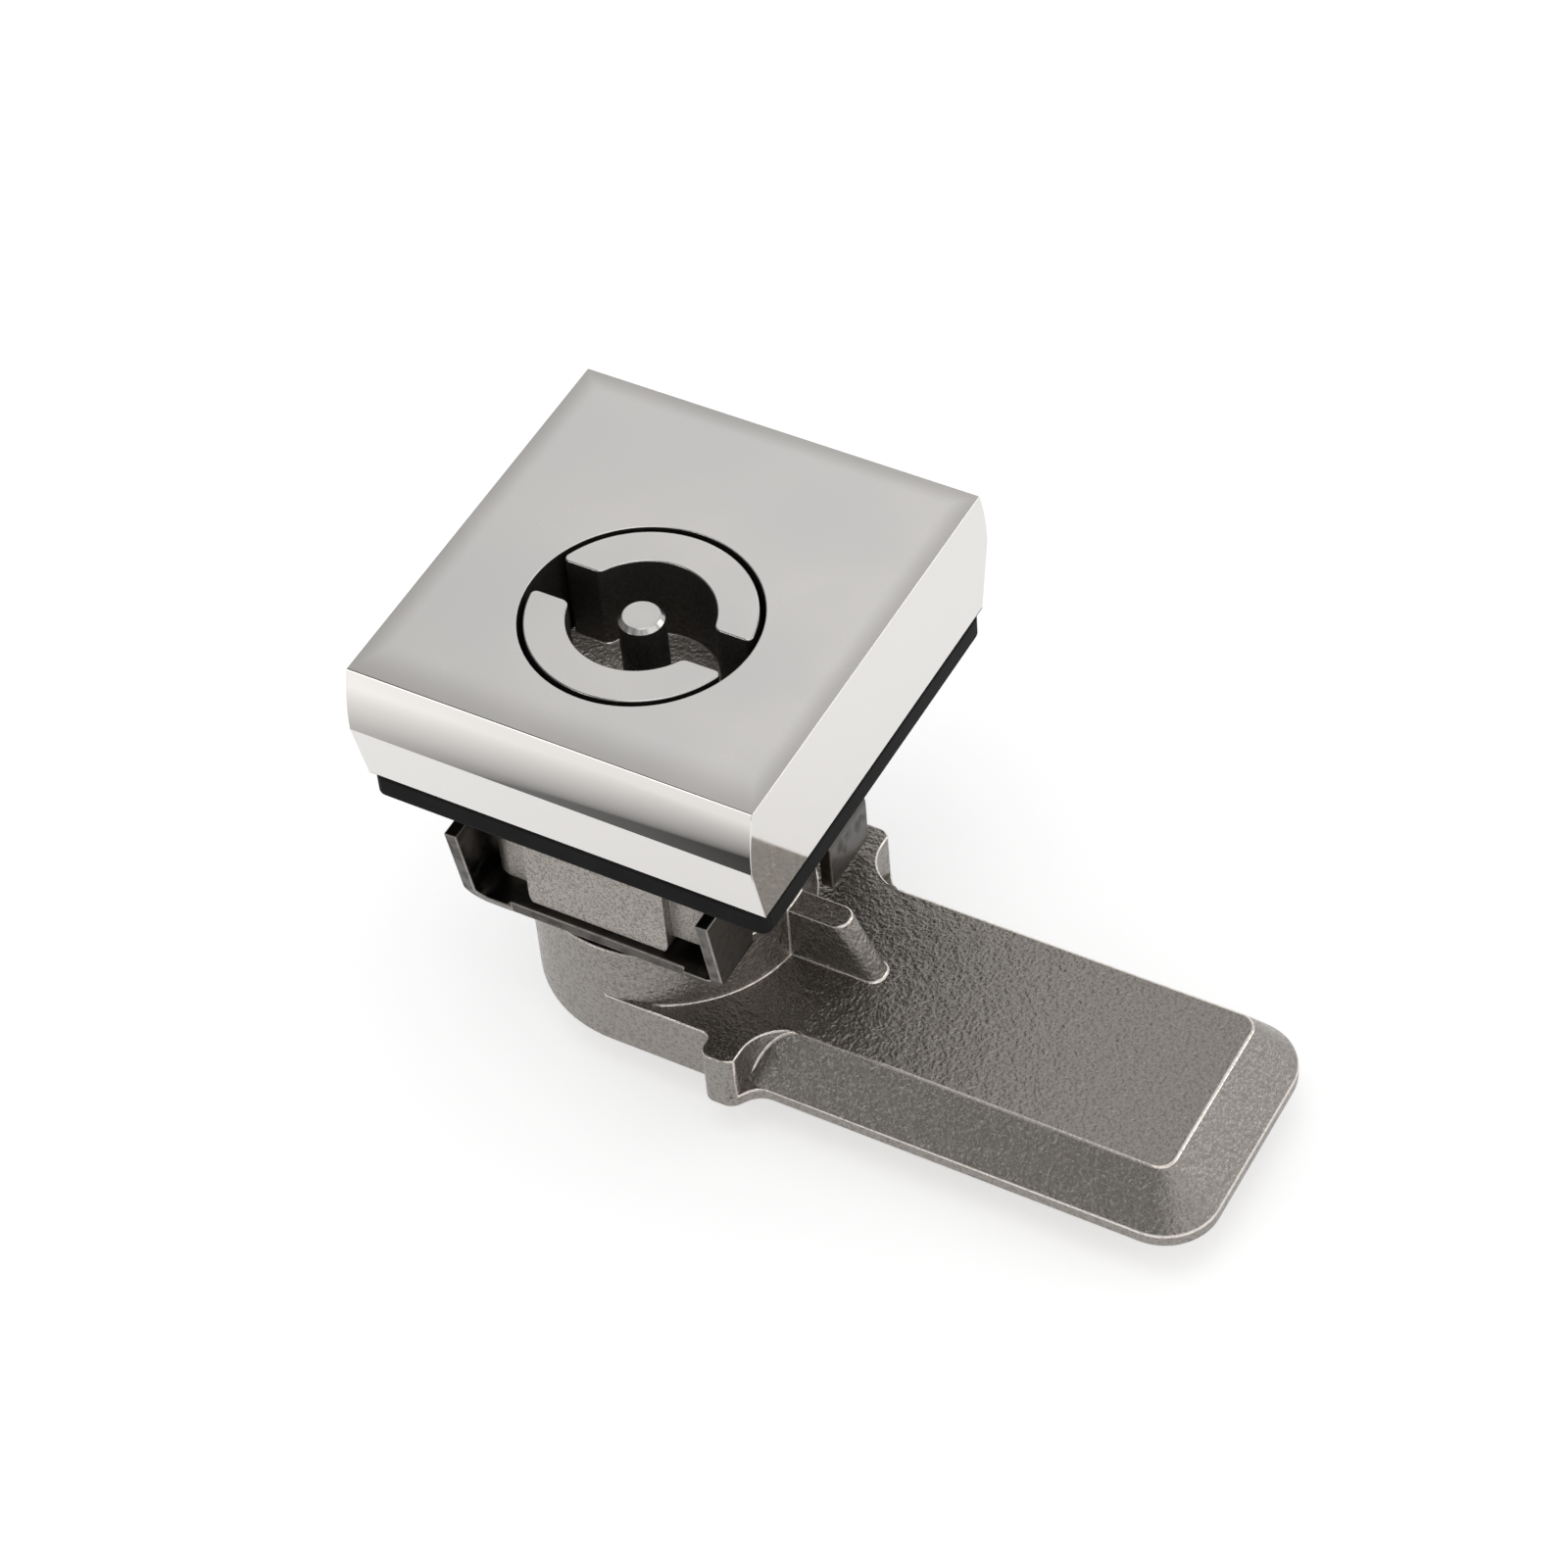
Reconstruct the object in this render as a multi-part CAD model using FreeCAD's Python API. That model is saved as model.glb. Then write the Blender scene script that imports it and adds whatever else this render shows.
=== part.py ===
"""Cabinet door lock with a square head and a quarter-turn cam.

The lock sits in a square cut-out of a sheet-metal door. A double-bit key turns the
rotor, and the rotor carries the cam that swings behind the door frame.

Frame: millimetres. The origin is on the key axis, in the plane of the door's outer
face, which is also the underside of the gasket. +Z points out of the door and +X
points along the cam blade in the closed position.
"""
import FreeCAD, Part
import math
import os

V = FreeCAD.Vector
AXIS_Z = V(0, 0, 1)
PAST = 1.0                   # how far a cutter runs past the face that it opens
TOUCH = 1e-6                 # two lengths closer than this are the same

# Head of the housing
HEAD_SIDE_MARGIN = 5.9       # flat top beyond the pads, on each side
HEAD_FRONT_MARGIN = 3.0
HEAD_BACK_MARGIN = 10.2      # behind the key axis the flat top is longer
HEAD_HEIGHT = 11.2
HEAD_BULGE = 0.9             # how far the front and back swell past the flat top
HEAD_RIDGE_DROP = 5.2        # depth of their ridge below the flat top
HEAD_FOOT_INSET = 0.4        # their foot lies inside the flat top's outline
HEAD_FOOT_CHAMFER = 0.35

# Square shank with four guide pads, and the round neck below it
SHANK_WALL = 0.52            # between the rotor's bore and the shank's flat sides
SHANK_STEP = 1.4             # the shank's end lies this far above the pads' ends
SHANK_CORNER = 1.6
PAD_PROUD = 0.9              # how far each pad stands out of the shank
PAD_WIDTH = 11.5
PAD_DEPTH = 9.8              # below the door's outer face
PAD_CORNER = 1.3
PAD_EDGE = 0.5
NECK_WALL = 1.95             # round the stem's bore
NECK_BELOW_CLIP = 1.85       # the neck ends this far below the clip's base

# Gasket
GASKET_THICK = 2.0
GASKET_INSET = 0.1           # inside the outline of the head's foot
GASKET_CORNER = 0.8
GASKET_SHANK_CLEARANCE = 0.15

# Rotor that takes the key
ROTOR_SHOULDER = 1.25        # the rotor's head stands out past the neck by this
ROTOR_GAP = 0.43             # radial gap to the head, seen as a dark ring
ROTOR_HEAD_DEPTH = 10.4
ROTOR_FLOAT = 0.1            # axial gap under the rotor's shoulder
KEY_WELL_DIAMETER = 10.6
KEY_WELL_DEPTH = 7.2
BIT_SLOT_WIDTH = 3.35
BIT_SLOT_OFFSET = 0.75       # each slot's middle lies this far to its own side of the axis
BIT_SLOT_ROUND = 0.7         # rounding of the land corners at the well
BIT_MOUTH_ROUND = 0.45       # rounding of the land corners at the rotor's rim
STEM_DIAMETER = 10.0
STEM_RUNNING_GAP = 0.05
TENON_STEP = 1.5             # from the stem's side in to the tenon's flats
TENON_CHAMFER = 0.5
TENON_RECESS = 0.3           # the tenon ends this far above the clamped washer

# Pin in the middle of the key well
KEY_PIN_DIAMETER = 3.4
KEY_PIN_CHAMFER = 0.35
KEY_PIN_SPIGOT_DIAMETER = 2.6
KEY_PIN_SPIGOT_LENGTH = 3.0

# Quarter-turn limiter between the rotor's shoulder and the housing
TRAVEL_DEG = 90.0
LIMIT_LUG_DEG = 30.0
LIMIT_LUG_MIDDLE_DEG = 90.0  # where the lug stands in the closed position
LIMIT_PLAY_DEG = 2.5
LIMIT_INSET = 0.15           # from the rotor's side in to the lug
LIMIT_LUG_WIDTH = 1.6
LIMIT_LUG_HEIGHT = 1.6
LIMIT_GAP = 0.3

# Square-cut sealing ring in the rotor's head
SEAL_SECTION = 1.6
SEAL_RUNNING_GAP = 0.04
SEAL_GROOVE_WIDTH = 2.0
SEAL_ABOVE_SHOULDER = 1.7    # height of its middle over the shoulder

# Folded mounting clip
CLIP_SHEET = 1.0
CLIP_WALL_CLEARANCE = 0.5    # between the shank's sides and the clip's walls
CLIP_MARGIN = 1.25           # the base's front and back edges beyond the shank's sides
CLIP_FLARE = 0.7             # the legs widen by this much along the fold
CLIP_LEAN = 1.9              # and by this much, in all, at their tips
CLIP_BEND = 1.8              # outer radius of the folds
DOOR_SHEET = 2.0             # thickness of the door that it grips
CLIP_WINDOW_CLEARANCE = 0.7
CLIP_WINDOW_DEPTH = 1.7      # how far each pad window cuts into the base
CLIP_NECK_CLEARANCE = 0.2
CLIP_TIP_GAP = 0.1           # between the legs' tips and the back of the door
GUARD_TAB_CLEARANCE = 0.32   # between the down-turned tab and the cam's hub
GUARD_TAB_DROP = 4.6

# Retaining ring under the clip
RING_THICK = 1.0
RING_WIDTH = 1.9
RING_GROOVE_DEPTH = 0.35
RING_SIDE_GAP = 0.05
RING_MOUTH_MIDDLE_DEG = 90.0
RING_MOUTH_DEG = 50.0
RING_LUG_RADIUS = 0.9
RING_EYE_RADIUS = 0.45

# Thrust washer between neck and cam
THRUST_THICK = 0.6
THRUST_INSET = 0.2           # from the neck's side in to the washer's edge
THRUST_FLOAT = 0.05
STEM_WASHER_CLEARANCE = 0.15

# Cam: hub, blade, two ears and one web, all in one casting
HUB_MARGIN = 1.3             # the hub's radius beyond the shank's flat sides
HUB_TOP_GAP = 0.4            # under the clip's base
HUB_RING_CLEARANCE = 0.75    # between the retaining ring and the wall of the hub's well
HUB_RISE = 5.2               # the hub's rim above the flat of the blade
BLADE_THICK = 5.1
BLADE_REACH = 47.0           # from the key axis to the tip
BLADE_RIM = 1.1              # upright band under the bevels
BLADE_SIDE_BEVEL = 2.9
BLADE_END_BEVEL = 3.3
BLADE_CORNER = 4.2
BEVEL_RUN_OUT = 3.3          # plan radius in which the side bevels end beside the ears
BEVEL_EAR_GAP = 0.3          # the run-out begins this far past the ears' ends
EAR_INSET = 1.75             # the ears begin this far inside the hub's radius
EAR_WIDTH = 2.45             # at their ends
EAR_LEAN = 1.3               # they are wider at the blade, towards its tip
EAR_PROUD = 1.9
EAR_HUB_CORNER = 0.9
EAR_TIP_CORNER = 1.3
EAR_TIP_BLEND = 2.0          # concave rounding towards the tip
EAR_HUB_BLEND = 0.6          # concave rounding towards the hub
WEB_THICK = 2.2
WEB_FRONT = -1.3             # front face of the web, across the blade
WEB_FOOT_RUN = 7.1           # from the hub's side to the web's foot
WEB_TOP_RUN = 4.5
WEB_TOP_GAP = 0.3            # below the hub's rim
WEB_ROUND = 0.95
TENON_CLEARANCE = 0.05

# Cam fasteners
SCREW_DIAMETER = 5.0
SCREW_THREAD_GAP = 0.05
SCREW_LENGTH = 8.0
SCREW_TIP_CHAMFER = 0.5
SCREW_TIP_ROOM = 1.0         # free depth of the hole past the screw's tip
SCREW_HEAD_ACROSS = 8.0
SCREW_HEAD_HEIGHT = 3.5
SCREW_HEAD_BEVEL = 0.35
WASHER_MARGIN = 2.5          # past the tenon's flats
WASHER_THICK = 1.0
WASHER_HOLE_CLEARANCE = 0.15
SPRING_WASHER_OUTER = 9.0
SPRING_WASHER_THICK = 1.2
SPRING_WASHER_CUT = 0.8
SEAT_DEPTH = 1.9             # recess in the cam's underside
SEAT_CLEARANCE = 0.5

# Levels and widths worked out from the sizes above
HEAD_FOOT = GASKET_THICK
HEAD_TOP = HEAD_FOOT + HEAD_HEIGHT
WELL_FLOOR = HEAD_TOP - KEY_WELL_DEPTH
SHOULDER = HEAD_TOP - ROTOR_HEAD_DEPTH
BORE_FLOOR = SHOULDER - ROTOR_FLOAT
NECK_DIAMETER = STEM_DIAMETER + 2 * (STEM_RUNNING_GAP + NECK_WALL)
ROTOR_DIAMETER = NECK_DIAMETER + 2 * ROTOR_SHOULDER
TENON_WIDTH = STEM_DIAMETER - 2 * TENON_STEP
WASHER_OUTER = TENON_WIDTH + 2 * WASHER_MARGIN
BORE_RADIUS = ROTOR_DIAMETER / 2 + ROTOR_GAP
LIMIT_OUTER_RADIUS = ROTOR_DIAMETER / 2 - LIMIT_INSET
LIMIT_INNER_RADIUS = LIMIT_OUTER_RADIUS - LIMIT_LUG_WIDTH
SHANK_WIDTH = 2 * (BORE_RADIUS + SHANK_WALL)
PAD_SPAN = SHANK_WIDTH + 2 * PAD_PROUD
HEAD_WIDTH = PAD_SPAN + 2 * HEAD_SIDE_MARGIN
HEAD_LENGTH = PAD_SPAN + HEAD_FRONT_MARGIN + HEAD_BACK_MARGIN
HEAD_SHIFT_Y = (HEAD_BACK_MARGIN - HEAD_FRONT_MARGIN) / 2
SEAL_MIDDLE = SHOULDER + SEAL_ABOVE_SHOULDER
SEAL_BOTTOM_RADIUS = BORE_RADIUS - SEAL_RUNNING_GAP - SEAL_SECTION
SHANK_FOOT = SHANK_STEP - PAD_DEPTH
CLIP_TOP = -PAD_DEPTH
CLIP_TIP = -DOOR_SHEET - CLIP_TIP_GAP
CLIP_FOOT = CLIP_TOP - CLIP_SHEET
CLIP_WIDTH = SHANK_WIDTH + 2 * (CLIP_WALL_CLEARANCE + CLIP_SHEET)
CLIP_EDGE = SHANK_WIDTH / 2 + CLIP_MARGIN
RING_TOP = CLIP_FOOT - RING_SIDE_GAP
RING_INNER_RADIUS = NECK_DIAMETER / 2 - RING_GROOVE_DEPTH
HUB_TOP = CLIP_FOOT - HUB_TOP_GAP
BLADE_TOP = HUB_TOP - HUB_RISE
CAM_FOOT = BLADE_TOP - BLADE_THICK
HUB_DIAMETER = SHANK_WIDTH + 2 * HUB_MARGIN
HUB_WELL_DIAMETER = 2 * (RING_INNER_RADIUS + RING_WIDTH + HUB_RING_CLEARANCE)
EAR_START = HUB_DIAMETER / 2 - EAR_INSET
EAR_END = EAR_START + EAR_WIDTH
NECK_FOOT = CLIP_FOOT - NECK_BELOW_CLIP
CAM_SEAT = NECK_FOOT - THRUST_FLOAT - THRUST_THICK
CLAMP_LEVEL = CAM_FOOT + SEAT_DEPTH
SCREW_SEAT = CLAMP_LEVEL - WASHER_THICK - SPRING_WASHER_THICK


def near(a, b):
    """Whether two lengths are the same."""
    return abs(a - b) < TOUCH


def block(x0, x1, y0, y1, z0, z1):
    """Box between two opposite corners."""
    return Part.makeBox(x1 - x0, y1 - y0, z1 - z0, V(x0, y0, z0))


def rod(radius, z0, z1, x=0.0, y=0.0):
    """Cylinder along Z."""
    return Part.makeCylinder(radius, z1 - z0, V(x, y, z0), AXIS_Z)


def tube(outer, inner, z0, z1):
    """Ring with a square section, from its outer and inner radius."""
    return rod(outer, z0, z1).cut(rod(inner, z0, z1))


def prism(points, depth):
    """Solid swept by a closed outline of points along the vector depth."""
    wire = Part.makePolygon(points + [points[0]])
    return Part.Face(wire).extrude(depth)


def polar(radius, degrees, z=0.0):
    """Point at a radius and an angle round the key axis."""
    angle = math.radians(degrees)
    return V(radius * math.cos(angle), radius * math.sin(angle), z)


def edges_where(shape, test):
    """Edges of a shape whose two ends both pass a test."""
    return [edge for edge in shape.Edges if all(test(v.Point) for v in edge.Vertexes)]


def upright_edges(shape, test=lambda point: True):
    """Edges along Z whose ends pass a test."""
    found = []
    for edge in edges_where(shape, test):
        start, end = edge.Vertexes[0].Point, edge.Vertexes[-1].Point
        if near(start.x, end.x) and near(start.y, end.y) and not near(start.z, end.z):
            found.append(edge)
    return found


def rounded_block(width, length, radius, z0, z1, y_mid=0.0):
    """Box with its four upright edges rounded, centred on x = 0."""
    body = block(-width / 2, width / 2, y_mid - length / 2, y_mid + length / 2, z0, z1)
    return body.makeFillet(radius, upright_edges(body))


def sector(inner, outer, start_deg, sweep_deg, z0, z1):
    """Part of a ring between two radii and two angles."""
    section = Part.Face(Part.makePolygon([
        polar(inner, start_deg, z0), polar(outer, start_deg, z0),
        polar(outer, start_deg, z1), polar(inner, start_deg, z1),
        polar(inner, start_deg, z0)]))
    return section.revolve(V(0, 0, 0), AXIS_Z, sweep_deg)


def head_body():
    """Square head: bulged front and back, flat ends, one straight sweep along X."""
    half = HEAD_LENGTH / 2
    ridge = HEAD_TOP - HEAD_RIDGE_DROP
    radius = (HEAD_BULGE ** 2 + HEAD_RIDGE_DROP ** 2) / (2 * HEAD_BULGE)
    half_angle = math.asin(HEAD_RIDGE_DROP / radius) / 2
    widest = half + HEAD_BULGE
    foot = half - HEAD_FOOT_INSET
    arc_y = widest - radius + radius * math.cos(half_angle)
    arc_z = ridge + radius * math.sin(half_angle)

    def at(y, z):
        return V(-HEAD_WIDTH / 2, HEAD_SHIFT_Y + y, z)

    edges = [
        Part.LineSegment(at(-half, HEAD_TOP), at(half, HEAD_TOP)).toShape(),
        Part.Arc(at(half, HEAD_TOP), at(arc_y, arc_z), at(widest, ridge)).toShape(),
        Part.LineSegment(at(widest, ridge), at(foot, HEAD_FOOT)).toShape(),
        Part.LineSegment(at(foot, HEAD_FOOT), at(-foot, HEAD_FOOT)).toShape(),
        Part.LineSegment(at(-foot, HEAD_FOOT), at(-widest, ridge)).toShape(),
        Part.Arc(at(-widest, ridge), at(-arc_y, arc_z), at(-half, HEAD_TOP)).toShape(),
    ]
    head = Part.Face(Part.Wire(edges)).extrude(V(HEAD_WIDTH, 0, 0))
    return head.makeChamfer(HEAD_FOOT_CHAMFER, edges_where(head, lambda p: near(p.z, HEAD_FOOT)))


def guide_pad(turn):
    """One guide pad of the shank, on the side given by its turn about Z."""
    half = PAD_WIDTH / 2
    face = PAD_SPAN / 2
    pad = block(-half, half, -face, 0, -PAD_DEPTH, HEAD_FOOT)
    corners = edges_where(pad, lambda p: near(p.z, -PAD_DEPTH) and near(p.x, half))
    corners += edges_where(pad, lambda p: near(p.z, -PAD_DEPTH) and near(p.x, -half))
    pad = pad.makeFillet(PAD_CORNER, corners)
    bevel = prism([V(-half, -face, -PAD_DEPTH), V(-half, PAD_EDGE - face, -PAD_DEPTH),
                   V(-half, -face, PAD_EDGE - PAD_DEPTH)], V(PAD_WIDTH, 0, 0))
    pad = pad.cut(bevel)
    pad.rotate(V(0, 0, 0), AXIS_Z, turn)
    return pad


def limiter_groove():
    """Arc-shaped groove under the rotor's shoulder, in which its lug travels."""
    sweep = TRAVEL_DEG + LIMIT_LUG_DEG + 2 * LIMIT_PLAY_DEG
    end = LIMIT_LUG_MIDDLE_DEG + LIMIT_LUG_DEG / 2 + LIMIT_PLAY_DEG
    floor = SHOULDER - LIMIT_LUG_HEIGHT - LIMIT_GAP
    return sector(LIMIT_INNER_RADIUS - LIMIT_GAP, LIMIT_OUTER_RADIUS + LIMIT_GAP,
                  end - sweep, sweep, floor, BORE_FLOOR + PAST)


def housing():
    """Head, shank, pads and neck: one casting, bored for the rotor."""
    shank = rounded_block(SHANK_WIDTH, SHANK_WIDTH, SHANK_CORNER, SHANK_FOOT, HEAD_FOOT)
    neck = rod(NECK_DIAMETER / 2, NECK_FOOT, HEAD_FOOT)
    pads = [guide_pad(turn) for turn in (0, 90, 180, 270)]
    body = head_body().fuse([shank, neck] + pads)
    body = body.cut(rod(BORE_RADIUS, BORE_FLOOR, HEAD_TOP + PAST))
    body = body.cut(rod(STEM_DIAMETER / 2 + STEM_RUNNING_GAP, NECK_FOOT - PAST, HEAD_TOP))
    body = body.cut(limiter_groove())
    ring_groove = tube(NECK_DIAMETER / 2 + PAST, RING_INNER_RADIUS,
                       RING_TOP - RING_THICK - RING_SIDE_GAP, CLIP_FOOT)
    return body.cut(ring_groove).removeSplitter()


def face_gasket():
    """Flat rubber plate between head and door, with a square hole for the shank."""
    width = HEAD_WIDTH - 2 * GASKET_INSET
    length = HEAD_LENGTH - 2 * (HEAD_FOOT_INSET + GASKET_INSET)
    plate = rounded_block(width, length, GASKET_CORNER, 0, GASKET_THICK, HEAD_SHIFT_Y)
    hole = PAD_SPAN + 2 * GASKET_SHANK_CLEARANCE
    return plate.cut(rounded_block(hole, hole, SHANK_CORNER, -PAST, GASKET_THICK + PAST))


def key_opening():
    """Cutter for the key well and two bit slots that are offset to opposite sides."""
    top = HEAD_TOP + PAST
    low = BIT_SLOT_OFFSET - BIT_SLOT_WIDTH / 2
    high = BIT_SLOT_OFFSET + BIT_SLOT_WIDTH / 2
    well = KEY_WELL_DIAMETER / 2
    left = block(-ROTOR_DIAMETER, 0, low, high, WELL_FLOOR, top)
    right = block(0, ROTOR_DIAMETER, -high, -low, WELL_FLOOR, top)
    cutter = rod(well, WELL_FLOOR, top).fuse([left, right]).removeSplitter()
    corners = upright_edges(cutter, lambda p: near(math.hypot(p.x, p.y), well))
    return cutter.makeFillet(BIT_SLOT_ROUND, corners)


def slotted_head():
    """Head of the rotor: round, with the key opening and soft land corners at its rim."""
    rim = ROTOR_DIAMETER / 2
    head = rod(rim, SHOULDER, HEAD_TOP).cut(key_opening())
    mouths = upright_edges(head, lambda p: near(math.hypot(p.x, p.y), rim) and p.z > SHOULDER)
    head = head.makeFillet(BIT_MOUTH_ROUND, mouths)
    groove = tube(BORE_RADIUS, SEAL_BOTTOM_RADIUS, SEAL_MIDDLE - SEAL_GROOVE_WIDTH / 2,
                  SEAL_MIDDLE + SEAL_GROOVE_WIDTH / 2)
    return head.cut(groove)


def key_rotor():
    """Rotor: slotted head, limiter lug, running stem and square tenon, in one piece."""
    stem = rod(STEM_DIAMETER / 2, CAM_SEAT, SHOULDER)
    half = TENON_WIDTH / 2
    tenon = block(-half, half, -half, half, CLAMP_LEVEL + TENON_RECESS, CAM_SEAT)
    tenon = tenon.makeChamfer(TENON_CHAMFER, upright_edges(tenon))
    lug = sector(LIMIT_INNER_RADIUS, LIMIT_OUTER_RADIUS, LIMIT_LUG_MIDDLE_DEG - LIMIT_LUG_DEG / 2,
                 LIMIT_LUG_DEG, SHOULDER - LIMIT_LUG_HEIGHT, SHOULDER)
    body = slotted_head().fuse([stem, tenon, lug])
    body = body.cut(rod(KEY_PIN_SPIGOT_DIAMETER / 2, WELL_FLOOR - KEY_PIN_SPIGOT_LENGTH, HEAD_TOP))
    thread = rod(SCREW_DIAMETER / 2 + SCREW_THREAD_GAP, CLAMP_LEVEL,
                 SCREW_SEAT + SCREW_LENGTH + SCREW_TIP_ROOM)
    return body.cut(thread).removeSplitter()


def rotor_seal():
    """Square-cut sealing ring between the rotor's head and the housing bore."""
    return tube(SEAL_BOTTOM_RADIUS + SEAL_SECTION, SEAL_BOTTOM_RADIUS,
                SEAL_MIDDLE - SEAL_SECTION / 2, SEAL_MIDDLE + SEAL_SECTION / 2)


def key_pin():
    """Centre pin of the key well, with bevelled ends and a spigot pressed into the rotor."""
    pin = rod(KEY_PIN_DIAMETER / 2, WELL_FLOOR, HEAD_TOP)
    ends = []
    for level in (WELL_FLOOR, HEAD_TOP):
        ends += edges_where(pin, lambda p: near(p.z, level))
    pin = pin.makeChamfer(KEY_PIN_CHAMFER, ends)
    return pin.fuse(rod(KEY_PIN_SPIGOT_DIAMETER / 2, WELL_FLOOR - KEY_PIN_SPIGOT_LENGTH, WELL_FLOOR))


def folded_edge(y0, y1, side, rise):
    """Strip of the clip along Y that is folded up (rise > 0) or down (rise < 0)."""
    outer = CLIP_WIDTH / 2
    way = 1 if rise > 0 else -1
    near_z = CLIP_FOOT if rise > 0 else CLIP_TOP
    far_z = CLIP_TOP if rise > 0 else CLIP_FOOT
    inside = CLIP_BEND - CLIP_SHEET
    slant = math.sqrt(0.5)
    start_x = outer - CLIP_BEND - CLIP_WINDOW_DEPTH
    bend_x = outer - CLIP_BEND
    bend_z = near_z + way * CLIP_BEND
    end_z = far_z + rise

    def at(x, z):
        return V(side * x, y0, z)

    edges = [
        Part.LineSegment(at(start_x, near_z), at(bend_x, near_z)).toShape(),
        Part.Arc(at(bend_x, near_z),
                 at(bend_x + CLIP_BEND * slant, bend_z - way * CLIP_BEND * slant),
                 at(outer, bend_z)).toShape(),
        Part.LineSegment(at(outer, bend_z), at(outer, end_z)).toShape(),
        Part.LineSegment(at(outer, end_z), at(outer - CLIP_SHEET, end_z)).toShape(),
        Part.LineSegment(at(outer - CLIP_SHEET, end_z), at(outer - CLIP_SHEET, bend_z)).toShape(),
        Part.Arc(at(outer - CLIP_SHEET, bend_z),
                 at(bend_x + inside * slant, bend_z - way * inside * slant),
                 at(bend_x, far_z)).toShape(),
        Part.LineSegment(at(bend_x, far_z), at(start_x, far_z)).toShape(),
        Part.LineSegment(at(start_x, far_z), at(start_x, near_z)).toShape(),
    ]
    return Part.Face(Part.Wire(edges)).extrude(V(0, y1 - y0, 0))


def clip_leg(side, end):
    """One upright leg of the clip; its outer edge leans out towards the door."""
    window = PAD_WIDTH / 2 + CLIP_WINDOW_CLEARANCE
    tip = CLIP_EDGE + CLIP_LEAN
    y0, y1 = sorted((end * window, end * tip))
    leg = folded_edge(y0, y1, side, CLIP_TIP - CLIP_TOP)
    low = CLIP_FOOT - PAST
    far = end * (tip + PAST)
    trim = prism([V(-CLIP_WIDTH, end * CLIP_EDGE, low),
                  V(-CLIP_WIDTH, end * CLIP_EDGE, CLIP_FOOT),
                  V(-CLIP_WIDTH, end * (CLIP_EDGE + CLIP_FLARE), CLIP_FOOT + CLIP_BEND),
                  V(-CLIP_WIDTH, end * tip, CLIP_TIP),
                  V(-CLIP_WIDTH, far, CLIP_TIP),
                  V(-CLIP_WIDTH, far, low)], V(2 * CLIP_WIDTH, 0, 0))
    return leg.cut(trim)


def mounting_clip():
    """Folded sheet clip: base round the neck, three legs and one down-turned tab."""
    flat = CLIP_WIDTH / 2 - CLIP_BEND - CLIP_WINDOW_DEPTH + CLIP_SHEET
    body = block(-flat, flat, -CLIP_EDGE, CLIP_EDGE, CLIP_FOOT, CLIP_TOP)
    tab_start = math.sqrt((HUB_DIAMETER / 2 + GUARD_TAB_CLEARANCE) ** 2
                          - (CLIP_WIDTH / 2 - CLIP_SHEET) ** 2)
    tab = folded_edge(tab_start, CLIP_EDGE, 1, -GUARD_TAB_DROP)
    body = body.fuse([clip_leg(-1, -1), clip_leg(1, -1), clip_leg(-1, 1), tab])
    hole = rod(NECK_DIAMETER / 2 + CLIP_NECK_CLEARANCE, CLIP_FOOT - PAST, CLIP_TOP + PAST)
    return body.cut(hole).removeSplitter()


def clip_retaining_ring():
    """Open ring in the neck's groove, with two pierced ends for pliers."""
    foot = RING_TOP - RING_THICK
    half_mouth = RING_MOUTH_DEG / 2
    body = sector(RING_INNER_RADIUS, RING_INNER_RADIUS + RING_WIDTH,
                  RING_MOUTH_MIDDLE_DEG + half_mouth, 360 - RING_MOUTH_DEG, foot, RING_TOP)
    for side in (-half_mouth, half_mouth):
        middle = polar(RING_INNER_RADIUS + RING_WIDTH / 2, RING_MOUTH_MIDDLE_DEG + side)
        body = body.fuse(rod(RING_LUG_RADIUS, foot, RING_TOP, middle.x, middle.y))
        body = body.cut(rod(RING_EYE_RADIUS, foot - PAST, RING_TOP + PAST, middle.x, middle.y))
    return body.removeSplitter()


def thrust_washer():
    """Running washer between the neck's end and the cam."""
    return tube(NECK_DIAMETER / 2 - THRUST_INSET, STEM_DIAMETER / 2 + STEM_WASHER_CLEARANCE,
                CAM_SEAT, CAM_SEAT + THRUST_THICK)


def blade_end(z, half, reach, corner):
    """Closed outline at one level, from the key axis to a tip with rounded corners."""
    slant = math.sqrt(0.5)
    tip = reach - corner
    side = half - corner
    edges = [
        Part.LineSegment(V(0, half, z), V(0, -half, z)).toShape(),
        Part.LineSegment(V(0, -half, z), V(tip, -half, z)).toShape(),
        Part.Arc(V(tip, -half, z), V(tip + corner * slant, -side - corner * slant, z),
                 V(reach, -side, z)).toShape(),
        Part.LineSegment(V(reach, -side, z), V(reach, side, z)).toShape(),
        Part.Arc(V(reach, side, z), V(tip + corner * slant, side + corner * slant, z),
                 V(tip, half, z)).toShape(),
        Part.LineSegment(V(tip, half, z), V(0, half, z)).toShape(),
    ]
    return Part.Wire(edges)


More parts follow.
